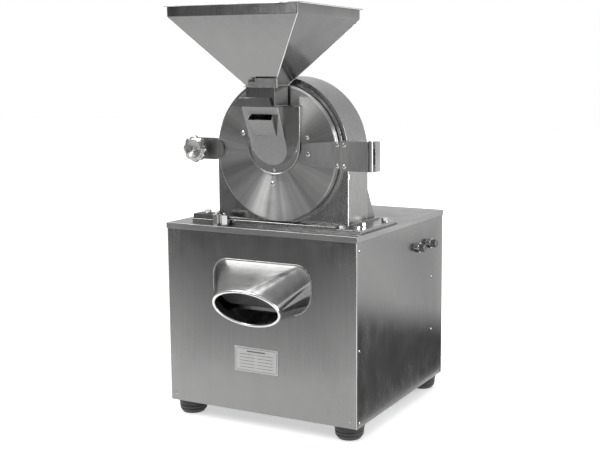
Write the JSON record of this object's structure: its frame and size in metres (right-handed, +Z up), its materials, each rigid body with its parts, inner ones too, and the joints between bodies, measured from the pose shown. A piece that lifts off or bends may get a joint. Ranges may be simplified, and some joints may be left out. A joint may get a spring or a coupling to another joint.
{
  "type": "hammer mill",
  "caption": "Free-standing stainless mill: sheet cabinet with oval discharge spout, drum housing with a hinged round door, feed chute with slide gate and square hopper.",
  "frame": {"origin": "on the floor, midway between the four feet and under the middle of the cabinet", "axes": "+X to the right seen from the front, -Y towards the front (door and spout side), +Z up"},
  "size_m": [0.636, 0.762, 1.146],
  "materials": {
    "sheet_stainless": "brushed stainless sheet, fine vertical grain",
    "panel_stainless": "brushed stainless panels, satin",
    "polished_stainless": "polished stainless",
    "turned_stainless": "turned face, circular grain",
    "housing_stainless": "satin ground stainless casting",
    "machined_steel": "machined and zinc plated steel",
    "cast_iron": "painted dark casting",
    "frame_paint": "grey primer",
    "rubber": "black rubber, matt",
    "button_plastic": "dark moulded cap",
    "knob_cast": "cast and tumbled",
    "plate_metal": "printed data plate, plain border and blank fields"
  },
  "bodies": {
    "cabinet": {"cabinet_frame": "frame_paint", "front_panel": "panel_stainless", "rear_panel": "panel_stainless", "left_panel": "panel_stainless", "right_panel": "panel_stainless", "top_plate": "sheet_stainless", "rubber_feet": "rubber", "foot_studs": "machined_steel", "cabinet_screws": "machined_steel", "name_plate": "plate_metal", "spout": "polished_stainless", "discharge_duct": "sheet_stainless", "button_bezels": "polished_stainless", "base_plate": "housing_stainless", "clamp_bar": "cast_iron", "hex_screws": "machined_steel", "housing": "housing_stainless", "housing_ring": "polished_stainless", "screen": "sheet_stainless", "tooth_liner": "cast_iron", "bearing_housing": "cast_iron", "bearing_outer_rings": "machined_steel", "bearing_covers": "machined_steel", "belts": "rubber", "belt_guard": "sheet_stainless", "motor_body": "frame_paint", "motor_plate": "frame_paint", "hinge_bracket": "housing_stainless", "hinge_pin": "machined_steel", "clamp_boss": "housing_stainless"},
    "door": {"door_disc": "turned_stainless", "door_gasket": "rubber", "stator_ring": "machined_steel", "door_screws": "machined_steel", "chute_flange": "polished_stainless", "feed_chute": "sheet_stainless", "air_scoop": "polished_stainless", "chute_lid": "sheet_stainless", "hopper": "sheet_stainless", "door_arm": "housing_stainless", "hinge_plate": "polished_stainless", "door_lug": "housing_stainless"},
    "gate": {"gate": "polished_stainless"},
    "clamp_washer": {"clamp_washer": "machined_steel"},
    "clamp_knob": {"star_knob": "knob_cast", "clamp_screw": "machined_steel"},
    "rotor": {"spindle": "machined_steel", "bearing_inner_rings": "machined_steel", "rotor_discs": "machined_steel", "rotor_hub": "machined_steel", "hammer_pins": "machined_steel", "spindle_pulley": "cast_iron"},
    "hammer_1": {"hammers_1": "machined_steel"},
    "hammer_2": {"hammers_2": "machined_steel"},
    "hammer_3": {"hammers_3": "machined_steel"},
    "hammer_4": {"hammers_4": "machined_steel"},
    "motor_rotor": {"motor_rotor": "machined_steel", "motor_pulley": "cast_iron"},
    "start_button": {"start_button": "button_plastic"},
    "stop_button": {"stop_button": "button_plastic"}
  },
  "joints": [
    {"name": "door_hinge", "type": "hinge", "parent": "cabinet", "child": "door", "pos_m": [0.322, -0.258, 0.762], "axis": [0, 0, 1], "range_deg": [0, 100]},
    {"name": "gate_slide", "type": "slide", "parent": "door", "child": "gate", "axis": [0, -1, 0], "range_m": [0, 0.06]},
    {"name": "clamp_travel", "type": "slide", "parent": "door", "child": "clamp_washer", "axis": [0, 1, 0], "range_m": [0, 0.00875]},
    {"name": "clamp_turn", "type": "hinge", "parent": "clamp_washer", "child": "clamp_knob", "pos_m": [-0.204, -0.28, 0.768], "axis": [0, 1, 0], "range_deg": [0, 1800]},
    {"name": "rotor_spin", "type": "hinge", "parent": "cabinet", "child": "rotor", "pos_m": [0.033, 0, 0.762], "axis": [0, 1, 0], "continuous": true},
    {"name": "hammer_1_swing", "type": "hinge", "parent": "rotor", "child": "hammer_1", "pos_m": [0.0931, -0.168, 0.8221], "axis": [0, 1, 0], "continuous": true},
    {"name": "hammer_2_swing", "type": "hinge", "parent": "rotor", "child": "hammer_2", "pos_m": [-0.0271, -0.168, 0.8221], "axis": [0, 1, 0], "continuous": true},
    {"name": "hammer_3_swing", "type": "hinge", "parent": "rotor", "child": "hammer_3", "pos_m": [-0.0271, -0.168, 0.7019], "axis": [0, 1, 0], "continuous": true},
    {"name": "hammer_4_swing", "type": "hinge", "parent": "rotor", "child": "hammer_4", "pos_m": [0.0931, -0.168, 0.7019], "axis": [0, 1, 0], "continuous": true},
    {"name": "motor_spin", "type": "hinge", "parent": "cabinet", "child": "motor_rotor", "pos_m": [0.033, 0, 0.165], "axis": [0, 1, 0], "continuous": true},
    {"name": "start_press", "type": "slide", "parent": "cabinet", "child": "start_button", "axis": [-1, 0, 0], "range_m": [0, 0.004], "stiffness_N_per_m": 500, "springref_m": -0.002},
    {"name": "stop_press", "type": "slide", "parent": "cabinet", "child": "stop_button", "axis": [-1, 0, 0], "range_m": [0, 0.004], "stiffness_N_per_m": 500, "springref_m": -0.002}
  ],
  "couplings": [
    {"joint": "clamp_travel", "follows": "clamp_turn", "m_per_rad": 0.00027852},
    {"joint": "motor_spin", "follows": "rotor_spin", "ratio": 0.6378}
  ]
}
